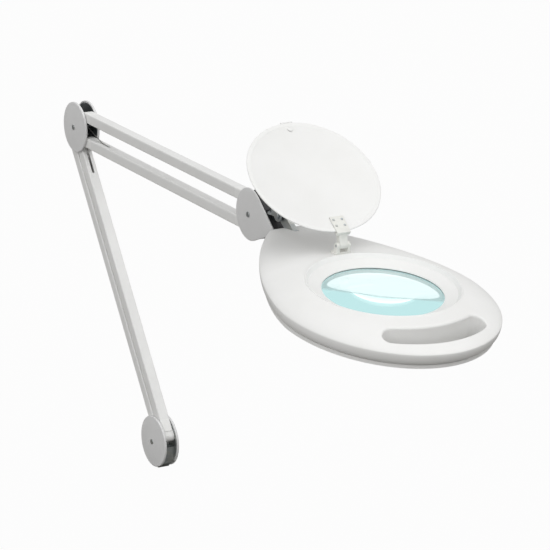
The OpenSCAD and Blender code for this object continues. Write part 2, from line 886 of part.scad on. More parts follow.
module lid_hinge_base() {
    color([0.88, 0.88, 0.84]) head_frame() difference() {
        union() {
            translate([foot_x, -foot_half, head_top - foot_sunk]) cube([foot_l, 2 * foot_half, 3]);
            both_sides() {
                rod(hinge, knuckle_r, hinge_half, hinge_half + 3);
                translate([hinge[0] - 3.6, hinge_half, head_top]) cube([7.2, 3, hinge[1] - head_top]);
            }
        }
        rod(hinge, hinge_pin_r, -20, 20);
    }
}

module lid_hinge_pin() {
    color(steel) head_frame() rod(hinge, hinge_pin_r, -hinge_half - 3, hinge_half + 3);
}

module lid_catch() {
    color(white) lid_frame() {
        difference() {
            translate([lid_r - 1.6, -7, lid_z + 0.1]) cube([3.1, 14, lid_t - 0.2]);
            translate([0, 0, lid_z - 1]) cylinder(r = lid_r + fit_gap, h = 2 * lid_t, $fn = 120);
        }
        translate([lid_r - 9, 0, lid_z - 0.9 - fit_gap]) cylinder(r = 3, h = 0.9);
    }
}

base_bracket();
base_cover_near();
base_cover_far();
base_cover_screws();
base_pivot_pins();
lower_front_tube();
lower_front_ends();
lower_spring();
lower_rear_tube();
lower_rear_ends();
elbow_bracket();
elbow_cover_near();
elbow_cover_far();
elbow_cover_screws();
elbow_pivot_pins();
elbow_spring_pins();
upper_bottom_tube();
upper_bottom_ends();
upper_spring();
upper_top_tube();
upper_top_ends();
head_bracket();
head_cover_near();
head_cover_far();
head_cover_screws();
head_pivot_pins();
swivel_block();
swivel_yoke();
swivel_bolt();
swivel_nut();
tilt_bolt();
tilt_knob();
tilt_washers();
neck_tongue();
top_shell();
bottom_shell();
shell_screws();
lens();
lens_seal();
lens_retainer();
reflector();
ring_lamp();
lamp_plug();
lamp_holder();
lamp_clips();
diffuser();
ballast();
switch_frame();
switch_rocker();
lid();
lid_hinge_base();
lid_hinge_pin();
lid_hinge_arm();
lid_rivets();
lid_catch();
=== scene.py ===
# %% [markdown]
# # A magnifying lamp on a spring balanced arm
# The real object is a work lamp. A ring lamp and a glass lens sit in a white moulded head, and a lid covers
# the lens when it isn't used. Two pairs of square steel tubes carry the head, and springs in the tubes hold
# its weight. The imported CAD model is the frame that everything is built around. It could be used as it is,
# but its edges are hard and its screws and springs are plain, so most of what shows is made again here, in
# the same places, and the rest only gets a better finish.

# %% Load the frame
import json
import math

import bmesh
import bpy
import numpy as np
from mathutils import Matrix, Vector
from mathutils.bvhtree import BVHTree


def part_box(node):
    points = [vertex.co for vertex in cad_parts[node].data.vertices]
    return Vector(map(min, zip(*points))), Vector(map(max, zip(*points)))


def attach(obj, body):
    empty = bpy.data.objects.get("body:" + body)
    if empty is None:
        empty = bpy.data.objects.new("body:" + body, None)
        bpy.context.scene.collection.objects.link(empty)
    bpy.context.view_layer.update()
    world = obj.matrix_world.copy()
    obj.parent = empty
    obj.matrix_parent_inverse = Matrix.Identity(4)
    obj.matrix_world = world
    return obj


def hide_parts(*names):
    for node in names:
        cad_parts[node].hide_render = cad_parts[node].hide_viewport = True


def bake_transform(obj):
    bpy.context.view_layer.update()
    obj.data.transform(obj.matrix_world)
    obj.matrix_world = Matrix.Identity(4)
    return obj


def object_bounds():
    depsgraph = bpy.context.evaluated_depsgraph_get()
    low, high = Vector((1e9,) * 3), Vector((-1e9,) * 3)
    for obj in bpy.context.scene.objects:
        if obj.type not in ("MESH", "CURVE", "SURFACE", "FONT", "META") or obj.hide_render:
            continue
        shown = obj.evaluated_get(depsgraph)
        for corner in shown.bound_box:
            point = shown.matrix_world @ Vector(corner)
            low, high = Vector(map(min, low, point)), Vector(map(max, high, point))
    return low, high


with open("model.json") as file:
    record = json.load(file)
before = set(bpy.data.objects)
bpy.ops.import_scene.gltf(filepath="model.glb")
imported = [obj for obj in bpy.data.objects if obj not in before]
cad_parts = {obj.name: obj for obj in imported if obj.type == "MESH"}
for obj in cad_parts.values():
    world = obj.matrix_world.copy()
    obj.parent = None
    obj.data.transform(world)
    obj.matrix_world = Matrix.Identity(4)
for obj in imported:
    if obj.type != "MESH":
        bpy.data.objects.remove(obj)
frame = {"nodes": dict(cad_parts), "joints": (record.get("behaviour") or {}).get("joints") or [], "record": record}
cad_box = [list(corner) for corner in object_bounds()]
body_of = {node: body for body, nodes in frame["record"]["behaviour"]["bodies"].items() for node in nodes}
pivot = {joint["name"]: Vector(joint["pos_m"]) for joint in frame["joints"]}
scene = bpy.context.scene
print("CAD box in metres:", cad_box)

# %% [markdown]
# ## Camera
# A long lens from about three metres keeps the parallel tubes nearly parallel, as in a catalogue picture.
# It could stand square to the side, but then the lens and the handle slot would hide in the thin head, so it
# looks along the arm from the front and a little from above.

# %% Camera


def look_at(thing, target):
    """Turns a camera or a lamp so that it faces the target."""
    thing.rotation_euler = (Vector(target) - thing.location).to_track_quat("-Z", "Y").to_euler()


camera = bpy.data.objects.new("camera", bpy.data.cameras.new("camera"))
camera.data.lens = 174.16
camera.data.sensor_width = 36
camera.location = (2.69938, -1.39037, 1.04395)
look_at(camera, target=(0.01757, 0.14888, 0.22020))
scene.collection.objects.link(camera)
scene.camera = camera
print("camera distance:", round(camera.location.length, 2), "m")

# %% [markdown]
# ## Shader and geometry node helper
# Node trees are long when every link is written by hand. One small class wraps a socket, so sums read as
# Python expressions and every other node is one call. The same class serves the materials and the
# Geometry Nodes, because both kinds of tree have the same Math node.

# %% Node helper


class Value:
    """A socket in a node tree, which Python's operators can work on."""

    def __init__(self, tree, socket=None):
        self.tree = tree
        self.socket = socket

    def node(self, kind, values=(), out=0, stops=None, **settings):
        """Adds a node. Settings and ramp stops are set first, then sockets get values or links."""
        made = self.tree.nodes.new(kind)
        for name, setting in settings.items():
            setattr(made, name, setting)
        if stops:
            ramp = made.color_ramp.elements
            while len(ramp) < len(stops):
                ramp.new(1.0)
            for element, (position, colour) in zip(ramp, stops):
                element.position = position
                element.color = (*colour, 1.0)
        for key, value in values.items() if isinstance(values, dict) else enumerate(values):
            if isinstance(value, Value):
                self.tree.links.new(value.socket, made.inputs[key])
            else:
                made.inputs[key].default_value = value
        return Value(self.tree, None if out is None else made.outputs[out])

    def maths(self, operation, *values):
        return self.node("ShaderNodeMath", values, operation=operation)

    def __add__(self, other):
        return self.maths("ADD", self, other)

    def __sub__(self, other):
        return self.maths("SUBTRACT", self, other)

    def __rsub__(self, other):
        return self.maths("SUBTRACT", other, self)

    def __mul__(self, other):
        return self.maths("MULTIPLY", self, other)

    __radd__ = __add__
    __rmul__ = __mul__

    def held(self, low, high):
        """The value's share of the way from low to high, kept between 0 and 1."""
        return self.node("ShaderNodeMapRange", {"Value": self, "From Min": low, "From Max": high})

    def mix(self, first, second):
        """A colour: first where the value is 0, second where it is 1."""
        first = first if isinstance(first, Value) else (*first, 1.0)
        second = second if isinstance(second, Value) else (*second, 1.0)
        return self.node("ShaderNodeMix", {0: self, 6: first, 7: second}, 2, data_type="RGBA")

    def noise(self, size, detail=2.0, stretch=(1, 1, 1)):
        """Cloudy noise whose patches are about size metres across; the value is the place it reads."""
        place = self.node("ShaderNodeMapping", {"Vector": self, "Scale": stretch})
        return self.node("ShaderNodeTexNoise", {"Vector": place, "Scale": 1 / size, "Detail": detail})


print("node helper ready")

# %% [markdown]
# ## Finishes
# The lamp has few materials, and each one has its own grain. Powder coat on the steel tubes has a fine orange
# peel, the moulded head and covers have a spark eroded grain that is even finer, zinc plated steel has small
# crystals and a faint blue and yellow cast, and the black parts are blasted or moulded. On the metal and black
# finishes the edges are a little more worn or polished than the faces; on the white finishes the edges are
# painted lighter, a painted highlight, and are a little smoother. A bevelled normal differs from the true one
# only near an edge, and that difference is the mask. Image textures could carry this too, but the finishes here
# are all made from noise, so that they have no seams and no size limit.

# %% Parts that the finishes share


def new_finish(name):
    """An empty material, and the place that its patterns read."""
    material = bpy.data.materials.new(name)
    material.use_nodes = True
    material.node_tree.nodes.clear()
    return material, Value(material.node_tree).node("ShaderNodeTexCoord", out="Object")


def edge_mask(place, radius):
    """1 on edges sharper than the radius, 0 on the faces."""
    soft = place.node("ShaderNodeBevel", {"Radius": radius}, samples=4)
    true = place.node("ShaderNodeNewGeometry", out="Normal")
    match = place.node("ShaderNodeVectorMath", {0: soft, 1: true}, "Value", operation="DOT_PRODUCT")
    return (1 - match).held(0.02, 0.25)


def surface(place, grain, depth, **sockets):
    """Principled surface with a fine bump from the grain, joined to the output."""
    bump = place.node("ShaderNodeBump", {"Height": grain, "Distance": depth, "Strength": 1.0})
    names = {"colour": "Base Color", "roughness": "Roughness", "metal": "Metallic", "coat": "Coat Weight",
             "coat_roughness": "Coat Roughness", "ior": "IOR", "clear": "Transmission Weight",
             "glow": "Emission Color", "glow_power": "Emission Strength"}
    values = {names[key]: value for key, value in sockets.items()}
    shader = place.node("ShaderNodeBsdfPrincipled", {"Normal": bump, **values})
    place.node("ShaderNodeOutputMaterial", {"Surface": shader}, out=None)


finishes = {}
print("finish helpers ready")

# %% White and off-white finishes
WHITES = {
    # slot: (colour, shade in the patches, edge colour as a painted highlight, roughness, grain size, grain depth,
    # coat)
    "white_paint": ((0.80, 0.80, 0.79), (0.76, 0.76, 0.75), (0.86, 0.86, 0.85), 0.36, 0.0011, 0.00002, 0.25),
    "white_cover": ((0.72, 0.72, 0.72), (0.68, 0.68, 0.68), (0.88, 0.88, 0.87), 0.42, 0.0007, 0.00001, 0.1),
    "white_plastic": ((0.83, 0.83, 0.82), (0.80, 0.80, 0.785), (0.87, 0.87, 0.86), 0.38, 0.0006, 0.00001,
                      0.1),
    "hinge_plastic": ((0.78, 0.78, 0.74), (0.74, 0.74, 0.70), (0.84, 0.84, 0.81), 0.5, 0.0005, 0.00002, 0.0),
    "diffuser_plastic": ((0.86, 0.87, 0.87), (0.83, 0.84, 0.84), (0.9, 0.9, 0.9), 0.45, 0.0008, 0.00004, 0.0),
    "lamp_glass": ((0.88, 0.88, 0.86), (0.85, 0.85, 0.83), (0.9, 0.9, 0.88), 0.15, 0.0030, 0.00001, 0.3),
}
for slot, (colour, shade, edge, rough, size, depth, coat) in WHITES.items():
    finishes[slot], place = new_finish(slot)
    patches = place.noise(0.045, 4.0).held(0.3, 0.7)
    grain = place.noise(size, 3.0)
    dust = place.noise(0.0022, 2.0).held(0.66, 0.78)
    edges = edge_mask(place, 0.0009)
    tone = patches.mix(colour, shade)
    tone = (dust * 0.12).mix(tone, [c * 0.8 for c in shade])
    # painted highlight: the edges are mixed towards the lighter edge colour, as if light caught them
    tone = (edges * 0.7).mix(tone, edge)
    surface(place, grain, depth, colour=tone, roughness=rough + patches * 0.07 - edges * 0.1 + grain * 0.04,
            coat=coat, coat_roughness=0.25)
print("white finishes:", len(WHITES))

# %% Metal finishes
METALS = {
    # slot: (colour, second colour, edge colour, roughness, crystal size, stretch of the brushing, metal)
    "zinc_steel": ((0.52, 0.53, 0.50), (0.40, 0.44, 0.47), (0.78, 0.77, 0.72), 0.34, 0.006, (1, 1, 1), 1.0),
    "spring_steel": ((0.36, 0.35, 0.33), (0.28, 0.28, 0.28), (0.6, 0.6, 0.58), 0.3, 0.002, (1, 6, 1), 1.0),
    "black_steel": ((0.028, 0.034, 0.036), (0.042, 0.050, 0.052), (0.16, 0.17, 0.17), 0.42, 0.004, (1, 1, 1),
                    0.3),
}
for slot, (colour, second, edge, rough, size, stretch, metal) in METALS.items():
    finishes[slot], place = new_finish(slot)
    crystals = place.node("ShaderNodeTexVoronoi", {"Vector": place, "Scale": 1 / size}, "Color")
    facets = place.node("ShaderNodeSeparateColor", {"Color": crystals}, "Red")
    clouds = place.noise(0.02, 4.0).held(0.3, 0.7)
    grain = place.noise(0.0005, 2.0, stretch)
    edges = edge_mask(place, 0.0006)
    tone = (facets * 0.6 + clouds * 0.4).mix(colour, second)
    tone = (edges * 0.8).mix(tone, edge)
    surface(place, grain, 0.00001, colour=tone, metal=metal, roughness=rough + facets * 0.10 - edges * 0.12)
print("metal finishes:", len(METALS))

# %% Black plastic and rubber
BLACKS = {
    # slot: (colour, roughness, grain size)
    "black_plastic": ((0.022, 0.022, 0.024), 0.45, 0.0008),
    "seal_rubber": ((0.03, 0.03, 0.03), 0.7, 0.0015),
}
for slot, (colour, rough, size) in BLACKS.items():
    finishes[slot], place = new_finish(slot)
    dust = place.noise(0.004, 5.0).held(0.5, 0.85)
    grain = place.noise(size, 3.0)
    edges = edge_mask(place, 0.0006)
    tone = (dust * 0.5 + edges * 0.5).mix(colour, [c * 2.6 + 0.02 for c in colour])
    surface(place, grain, 0.00003, colour=tone, roughness=rough + dust * 0.15 - edges * 0.1)
print("black finishes:", len(BLACKS))

# %% [markdown]
# The lens is ordinary crown glass, which is faintly blue green in thickness. The tint is set on the surface
# and not as an absorbing volume, because the exported model keeps a surface tint. Seen at a slant, the near
# part of so thick a lens mirrors the dark inside of the head. A faint even glow of the glass's own colour
# stands in for the light that the real ring lamp's white housing sends back there. A few dust specks and
# wipe marks in the roughness stop it from looking like empty air.

# %% Lens glass
finishes["lens_glass"], place = new_finish("lens_glass")
smears = place.noise(0.018, 5.0, (1, 0.4, 1)).held(0.5, 0.8)
specks = place.noise(0.0012, 1.0).held(0.74, 0.80)
tint = smears.mix((0.86, 0.96, 0.96), (0.90, 0.98, 0.98))
surface(place, smears, 0.000002, colour=(specks * 0.3).mix(tint, (0.6, 0.66, 0.66)),
        roughness=0.015 + smears * 0.03 + specks * 0.2, clear=1.0, ior=1.52, glow=(0.62, 0.93, 0.94, 1.0),
        glow_power=0.13)
print("finishes:", sorted(finishes))

# %% [markdown]
# ## Studio
# A pale floor, an even sky and two broad suns: a soft key from above and a little to the far side, and a fill
# on the near side. Area lamps could do it too, but their light falls off across the floor and greys its far
# edge. The floor glows for the camera, straight or through the lens, so it stays white, while the undersides
# of the lamp see a darker floor and go dark as they should.

# %% Studio
scene.view_settings.view_transform = "Standard"
SKY = 0.6
FLOOR_GLOW = 0.97
GLOW_IN_LENS = 0.85
scene.world = bpy.data.worlds.new("studio")
scene.world.use_nodes = True
scene.world.node_tree.nodes.clear()
world = Value(scene.world.node_tree)
seen = world.node("ShaderNodeLightPath", out="Is Camera Ray")
dome = world.node("ShaderNodeBackground", {"Color": (1, 1, 1, 1), "Strength": seen * (1 - SKY) + SKY})
world.node("ShaderNodeOutputWorld", {"Surface": dome}, out=None)

floor_finish, place = new_finish("studio_floor")
seen = place.node("ShaderNodeLightPath", out="Is Camera Ray")
through = place.node("ShaderNodeLightPath", out="Is Transmission Ray")
mottle = place.noise(0.6, 3.0)
paper = place.node("ShaderNodeBsdfDiffuse", {"Color": mottle.mix((0.22, 0.215, 0.205), (0.25, 0.245, 0.235))})
glow = place.node("ShaderNodeEmission", {"Color": (1, 1, 1, 1), "Strength": 1.0})
share = seen.maths("MAXIMUM", seen, through * GLOW_IN_LENS) * FLOOR_GLOW
both = place.node("ShaderNodeMixShader", {0: share, 1: paper, 2: glow})
place.node("ShaderNodeOutputMaterial", {"Surface": both}, out=None)

bm = bmesh.new()
bmesh.ops.create_grid(bm, x_segments=4, y_segments=4, size=12)
floor_mesh = bpy.data.meshes.new("floor")
bm.to_mesh(floor_mesh)
bm.free()
floor_mesh.transform(Matrix.Translation((0, 0, cad_box[0][2] - 0.0005)))
floor_mesh.materials.append(floor_finish)
floor = bpy.data.objects.new("floor", floor_mesh)
scene.collection.objects.link(floor)

SUNS = {
    # name: (strength, spread in degrees, direction that the light comes from)
    "key": (1.3, 80, (0.42, 0.22, 0.84)),
    "fill": (1.0, 70, (0.35, -0.9, 0.2)),
}
for name, (power, spread, way) in SUNS.items():
    lamp = bpy.data.objects.new(name, bpy.data.lights.new(name, "SUN"))
    lamp.data.energy = power
    lamp.data.angle = math.radians(spread)
    lamp.location = Vector(way) * 3
    look_at(lamp, (0, 0, 0))
    scene.collection.objects.link(lamp)
print("floor at", round(cad_box[0][2], 4), "m")

# %% [markdown]
# ## Mesh helpers
# Nearly every part is turned, or is a stack of outlines. Lists of corners with a radius each give both kinds
# their soft edges: every corner becomes a small curve, so edges catch the light the way a moulding's do.
# Sizes are in millimetres while a part is drawn, as on a drawing, and become metres when it is placed.

# %% Mesh helpers
MM = 0.001


def eased(corners, steps=4, closed=True):
    """Points of an outline through (x, y, radius) corners, with every corner rounded by its radius."""
    points = []
    for i, (x, y, radius) in enumerate(corners):
        here = Vector((x, y))
        ends = not closed and i in (0, len(corners) - 1)
        before = Vector(corners[i - 1][:2]) - here
        after = Vector(corners[(i + 1) % len(corners)][:2]) - here
        if radius == 0 or ends:
            points.append(tuple(here))
            continue
        half = before.angle(after) / 2
        reach = min(radius / max(math.tan(half), 0.05), 0.49 * before.length, 0.49 * after.length)
        start = here + before.normalized() * reach
        end = here + after.normalized() * reach
        for step in range(steps + 1):
            t = step / steps
            points.append(tuple(start * (1 - t) ** 2 + here * 2 * t * (1 - t) + end * t ** 2))
    return points


def turned(profile, count=128):
    """A solid turned round Z from (radius, height) points. A radius of 0 closes it with a pole."""
    points, rows, faces = [], [], []
    for radius, height in profile:
        around = 1 if radius == 0 else count
        rows.append([len(points) + i for i in range(around)])
        for i in range(around):
            angle = 2 * math.pi * i / count
            points.append((radius * math.cos(angle), radius * math.sin(angle), height))
    if profile[0][0] > 0:
        rows.append(rows[0])
    for low, high in zip(rows, rows[1:]):
        faces += joined(low, high, count)
    return points, faces


def joined(low, high, count):
    """Faces between two rings of points; either may be a single pole."""
    faces = []
    for i in range(count):
        j = (i + 1) % count
        face = [low[i % len(low)], low[j % len(low)], high[j % len(high)], high[i % len(high)]]
        face = list(dict.fromkeys(face))
        if len(face) > 2:
            faces.append(face)
    return faces


def stacked(rings, closed=False):
    """A solid through rings of points. A closed stack returns to its first ring, as a frame does."""
    count = max(len(ring) for ring in rings)
    points = [tuple(p) for ring in rings for p in ring]
    starts = np.cumsum([0] + [len(ring) for ring in rings])
    rows = [list(range(starts[i], starts[i + 1])) for i in range(len(rings))]
    faces = []
    for low, high in zip(rows, rows[1:] + ([rows[0]] if closed else [])):
        faces += joined(low, high, count)
    if not closed:
        faces += [row for row in (rows[0], rows[-1]) if len(row) > 2]
    return points, faces


def make(name, shape, matrix=None):
    """A mesh object from points and faces in millimetres, moved to its place, in metres, normals outward."""
    points, faces = shape
    mesh = bpy.data.meshes.new(name)
    mesh.from_pydata(points, [], faces)
    mesh.transform(Matrix.Scale(MM, 4))
    if matrix is not None:
        mesh.transform(matrix)
    bm = bmesh.new()
    bm.from_mesh(mesh)
    bmesh.ops.remove_doubles(bm, verts=bm.verts, dist=1e-7)
    bmesh.ops.recalc_face_normals(bm, faces=bm.faces)
    bm.to_mesh(mesh)
    bm.free()
    piece = bpy.data.objects.new(name, mesh)
    scene.collection.objects.link(piece)
    return piece


def applied(piece):
    """Turns a piece's modifiers into plain mesh and removes them."""
    bpy.context.view_layer.update()
    graph = bpy.context.evaluated_depsgraph_get()
    mesh = bpy.data.meshes.new_from_object(piece.evaluated_get(graph))
    piece.modifiers.clear()
    piece.data = mesh
    return piece


def open_edges(mesh):
    """How many edges don't join exactly two faces, which is 0 on a closed piece."""
    bm = bmesh.new()
    bm.from_mesh(mesh)
    count = sum(1 for edge in bm.edges if len(edge.link_faces) != 2)
    bm.free()
    return count


def shade(piece, slot, sharp=38):
    """Smooth shading with sharp creases, and the slot's finish."""
    piece.data.polygons.foreach_set("use_smooth", [True] * len(piece.data.polygons))
    piece.data.set_sharp_from_angle(angle=math.radians(sharp))
    piece.data.materials.clear()
    piece.data.materials.append(finishes[slot])


def place_on(piece, body, slot, *nodes, sharp=38):
    """Shades a finished piece, hangs it on a body and hides the CAD nodes that it stands for."""
    shade(piece, slot, sharp)
    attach(piece, body)
    if nodes:
        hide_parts(*nodes)
    print(f"{piece.name}: {len(piece.data.polygons)} faces, {open_edges(piece.data)} open edges, on {body}")


def cut(piece, cutter, operation="DIFFERENCE"):
    """Takes the cutter out of a piece, or joins it, and removes the cutter."""
    boolean = piece.modifiers.new("cut", "BOOLEAN")
    boolean.operation = operation
    boolean.solver = "EXACT"
    boolean.object = cutter
    applied(piece)
    bpy.data.objects.remove(cutter)
    return piece


# %% [markdown]
# ## CAD nodes that stay
# Straight tubes, pins and the parts inside the head already have their right shape, so they stay as CAD
# nodes. They only get the finish of their slot.

# %% Finishes on the CAD nodes
slot_of = {part["node"]: part["material_slot"] for part in frame["record"]["subparts"]}
for node, solid in frame["nodes"].items():
    for place_in_mesh in solid.material_slots:
        place_in_mesh.material = finishes[slot_of[node]]
print("CAD nodes with a finish:", len(slot_of))

# %% [markdown]
# ## Eased copies of the machined parts
# The brackets, the yoke, the bolts and the hinge are right in shape, but real pressed and moulded edges are
# rounded. Drawing each again would only repeat the CAD. A copy of the node, with its loose triangles merged
# and its sharp edges bevelled, keeps the shape and adds the rounding.

# %% Eased copies


def eased_copy(node, width, name, segments=2):
    """A copy of a CAD node with its doubles merged, flat faces joined and sharp edges bevelled."""
    bm = bmesh.new()
    bm.from_mesh(frame["nodes"][node].data)
    bmesh.ops.remove_doubles(bm, verts=bm.verts, dist=2e-6)
    bmesh.ops.dissolve_limit(bm, angle_limit=math.radians(0.5), verts=bm.verts, edges=bm.edges)
    mesh = bpy.data.meshes.new(name)
    bm.to_mesh(mesh)
    bm.free()
    piece = bpy.data.objects.new(name, mesh)
    scene.collection.objects.link(piece)
    bevel = piece.modifiers.new("edges", "BEVEL")
    bevel.width = width * MM
    bevel.segments = segments
    bevel.limit_method = "ANGLE"
    bevel.angle_limit = math.radians(40)
    applied(piece)
    place_on(piece, body_of[node], slot_of[node], node)
    return piece


# node: width of the rounding in millimetres
EASED = {"base_bracket": 0.3, "elbow_bracket": 0.3, "swivel_block": 0.7, "swivel_yoke": 0.3,
         "swivel_nut": 0.4, "swivel_bolt": 0.4, "tilt_bolt": 0.5, "tilt_knob": 0.5, "lid_hinge_base": 0.5,
         "lid_hinge_arm": 0.35, "lid_catch": 0.5, "switch_frame": 0.3, "switch_rocker": 0.3}
for node, width in EASED.items():
    eased_copy(node, width, node + "_eased")

# %% [markdown]
# ## Round joint covers
# Each joint is closed by two white moulded discs, a little domed, with a rounded rim that turns in behind.
# They are turned solids, so one profile makes all four. The mould's edge is a small radius, and the dome is a
# smooth curve and not the steps of the CAD node.

# %% Round joint covers
PLATE_OUT = 8.15
COVER_T = 1.6
DOME = 1.1
COVER_R = 31.0


def facing(centre, side):
    """Places a part drawn along +Z so that it faces -Y (side -1) or +Y (side 1) from the middle plane."""
    turn = Matrix.Rotation(-side * math.pi / 2, 4, "X")
    return Matrix.Translation((centre[0], 0, centre[1])) @ turn


def middle(node):
    """The centre of a node's box, as (x, z)."""
    low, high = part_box(node)
    return (low.x + high.x) / 2, (low.z + high.z) / 2


def dome(share):
    """Height of a cover's face over its rim at a share of the way from centre to rim."""
    return DOME * (1 - share ** 2.2)


LIP_W, LIP_H = 1.8, 1.1
lip_in, lip_low = COVER_R - LIP_W, PLATE_OUT - LIP_H
rim = eased([(lip_in, PLATE_OUT, 0), (lip_in, lip_low, 0.2), (COVER_R, lip_low, 0.3),
             (COVER_R, PLATE_OUT + COVER_T - 0.05, 0.9), (COVER_R - 2.6, PLATE_OUT + COVER_T + 0.02, 0.4)],
            closed=False)
face = [((COVER_R - 3) * share, PLATE_OUT + COVER_T + dome(share)) for share in np.linspace(0.96, 0.06, 14)]
round_cover = turned([(0, PLATE_OUT)] + rim + face + [(0, PLATE_OUT + COVER_T + DOME)])
for joint in ("base", "elbow"):
    for side, word in ((-1, "near"), (1, "far")):
        node = f"{joint}_cover_{word}"
        place_on(make(node + "_domed", round_cover, facing(middle(node), side)), joint, "white_cover", node)

# %% [markdown]
# ## Head joint covers
# The pair at the head is drop shaped: a disc drawn out to a nose over the swivel. The outline is two circles
# and their tangents, and the face is the same shallow dome, made of the outline shrunk towards the disc's
# centre ring by ring.

# %% Head joint covers
HEAD_COVER_R = 29.5
NOSE = Vector((47, -8.5))
NOSE_R = 5.0


def resampled(points, count, start=0.0):
    """The closed outline again as evenly spaced points."""
    points = np.array(points, float)
    loop = np.vstack([points, points[:1]])
    length = np.concatenate([[0], np.cumsum(np.linalg.norm(np.diff(loop, axis=0), axis=1))])
    wanted = (np.arange(count) / count + start) % 1 * length[-1]
    return np.stack([np.interp(wanted, length, loop[:, k]) for k in range(points.shape[1])], axis=1)


lean = math.atan2(NOSE.y, NOSE.x)
spread = math.acos((HEAD_COVER_R - NOSE_R) / NOSE.length)
disc_arc = [(HEAD_COVER_R * math.cos(t), HEAD_COVER_R * math.sin(t))
            for t in np.linspace(lean + spread, lean + 2 * math.pi - spread, 100)]
nose_arc = [(NOSE.x + NOSE_R * math.cos(t), NOSE.y + NOSE_R * math.sin(t))
            for t in np.linspace(lean - spread, lean + spread, 24)]
drop = resampled(disc_arc + nose_arc, 200)
joint_c = (middle("head_cover_screws"))


def drop_ring(share, height, pull=0.0):
    """The drop outline, shrunk to a share of its size and pulled in by a few tenths, at one height."""
    ring = drop * share
    reach = np.linalg.norm(ring, axis=1, keepdims=True)
    ring = ring * (1 - pull / np.maximum(reach, 1))
    return [(x, y, height) for x, y in ring]


top = PLATE_OUT + COVER_T
rings = [[(0, 0, PLATE_OUT)], drop_ring(1, PLATE_OUT, 0.3), drop_ring(1, PLATE_OUT + 0.2)]
for angle in np.linspace(0, 90, 6):
    pull = 0.8 * (1 - math.cos(math.radians(angle)))
    rings.append(drop_ring(1, top - 0.8 + 0.75 * math.sin(math.radians(angle)), pull))
rings += [drop_ring(share, top + dome(share) * 0.98) for share in np.linspace(0.92, 0.08, 12)]
rings.append([(0, 0, top + DOME)])
drop_solid = stacked(rings)
for side, word in ((-1, "near"), (1, "far")):
    points = [(x, side * h, z) for x, z, h in drop_solid[0]]
    node = f"head_cover_{word}"
    there = Matrix.Translation((joint_c[0], 0, joint_c[1]))
    place_on(make(node + "_domed", (points, drop_solid[1]), there), "head_joint", "white_cover", node)

# %% [markdown]
# ## The head's own frame
# The head hangs nose down by a few degrees. Its parts are drawn level, from the centre of the lens opening,
# and one matrix brings them all to their place. The lens is the same above and below its middle plane, so
# the centre of its box gives that place however the head is pitched.

# %% Head frame
HEAD_PITCH = math.radians(9.3)
LENS_MIDDLE = -3.9
low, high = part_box("lens")
up = Vector((math.sin(HEAD_PITCH), 0, math.cos(HEAD_PITCH)))
lens_centre = (low + high) / 2 - up * LENS_MIDDLE * MM
HEAD = Matrix.Translation(lens_centre) @ Matrix.Rotation(HEAD_PITCH, 4, "Y")
print("lens opening at", [round(c, 4) for c in lens_centre])

# %% [markdown]
# ## Top shell
# The shell is one moulding: a round recess for the lid with the lens opening in it, a crown that bulges out
# from the recess to an oval waist, and a skirt that tucks in to the rim. A subdivided cage would wander off
# the true outline, so the wall is a closed stack of rings: out along the show face, round the rim and back
# along the inside, with a small rolled bead where the recess meets the crown.

# %% Sizes of the head
HEAD_FRONT, HEAD_REAR, HALF_W, NECK_CUT = 137.0, 213.0, 115.0, 200.0
HEAD_TOP, WAIST, RIM, BASE, TUCK, SHELL_T = 8.5, -9.0, -22.0, -26.0, 0.06, 2.2
RECESS_R, LEDGE, CROWN_C = 79.0, 4.5, 77.0
OPENING_R, LENS_SEAT_R, LIP_Z = 62.8, 64.0, -1.4
NECK_FALL = (1.25, 1.6)
CROWN_FALL = (1.3, 0.72)
SECTORS = 240

turn = np.linspace(0, 2 * math.pi, SECTORS, endpoint=False)
ahead, aside = np.cos(turn), np.sin(turn)
behind = ahead < 0
OUTLINE = np.stack([HEAD_FRONT * ahead, HALF_W * aside], 1)
OUTLINE[behind, 0] = np.maximum(-HEAD_REAR * np.abs(ahead[behind]) ** NECK_FALL[0], -NECK_CUT)
OUTLINE[behind, 1] = HALF_W * np.sign(aside[behind]) * np.abs(aside[behind]) ** NECK_FALL[1]
neck = OUTLINE[:, 0] < 15 - NECK_CUT
for _ in range(3):
    near = (np.roll(OUTLINE, 1, 0) + np.roll(OUTLINE, -1, 0)) / 2
    OUTLINE[neck] = (OUTLINE[neck] + near[neck]) / 2
CIRCLE = np.stack([np.cos(turn), np.sin(turn)], 1)
REACH = np.linalg.norm(OUTLINE, axis=1, keepdims=True)


def level(flat, height):
    """Gives flat points one height, or each its own."""
    return np.column_stack([flat, np.broadcast_to(height, len(flat))])


def crown(share, inset=0.0):
    """A crown ring, from 0 at the recess to 1 at the waist. Share may differ from point to point."""
    inner = CIRCLE * (CROWN_C + inset)
    flat = inner + (OUTLINE * (1 - inset / REACH) - inner) * np.reshape(share, (-1, 1))
    fall = 1 - np.broadcast_to(share, len(flat)) ** CROWN_FALL[0]
    rise = (HEAD_TOP - inset - WAIST) * np.maximum(fall, 0) ** CROWN_FALL[1]
    return level(flat, WAIST + rise)


def skirt(angle, inset=0.0):
    """A skirt ring, from 0 degrees at the waist to 90 at the rim."""
    tuck = 1 - TUCK * (1 - math.cos(math.radians(angle)))
    return level(OUTLINE * tuck * (1 - inset / REACH), WAIST + (RIM - WAIST) * math.sin(math.radians(angle)))


def first_share(radius, inset=0.0):
    """Where each sector's crown line leaves the circle of that radius."""
    low_end, high_end = np.zeros(SECTORS), np.ones(SECTORS)
    for _ in range(30):
        half = (low_end + high_end) / 2
        inside = np.linalg.norm(crown(half, inset)[:, :2], axis=1) < radius
        low_end, high_end = np.where(inside, half, low_end), np.where(inside, high_end, half)
    return half


def crown_rings(radius, inset, count):
    """Rings from the circle of that radius out to the waist, evenly spread in angle."""
    start = np.arcsin(first_share(radius, inset))
    return [crown(np.sin(start + (math.pi / 2 - start) * t), inset) for t in np.linspace(0, 1, count)]


print("head", HEAD_FRONT + NECK_CUT, "by", 2 * HALF_W, "mm")

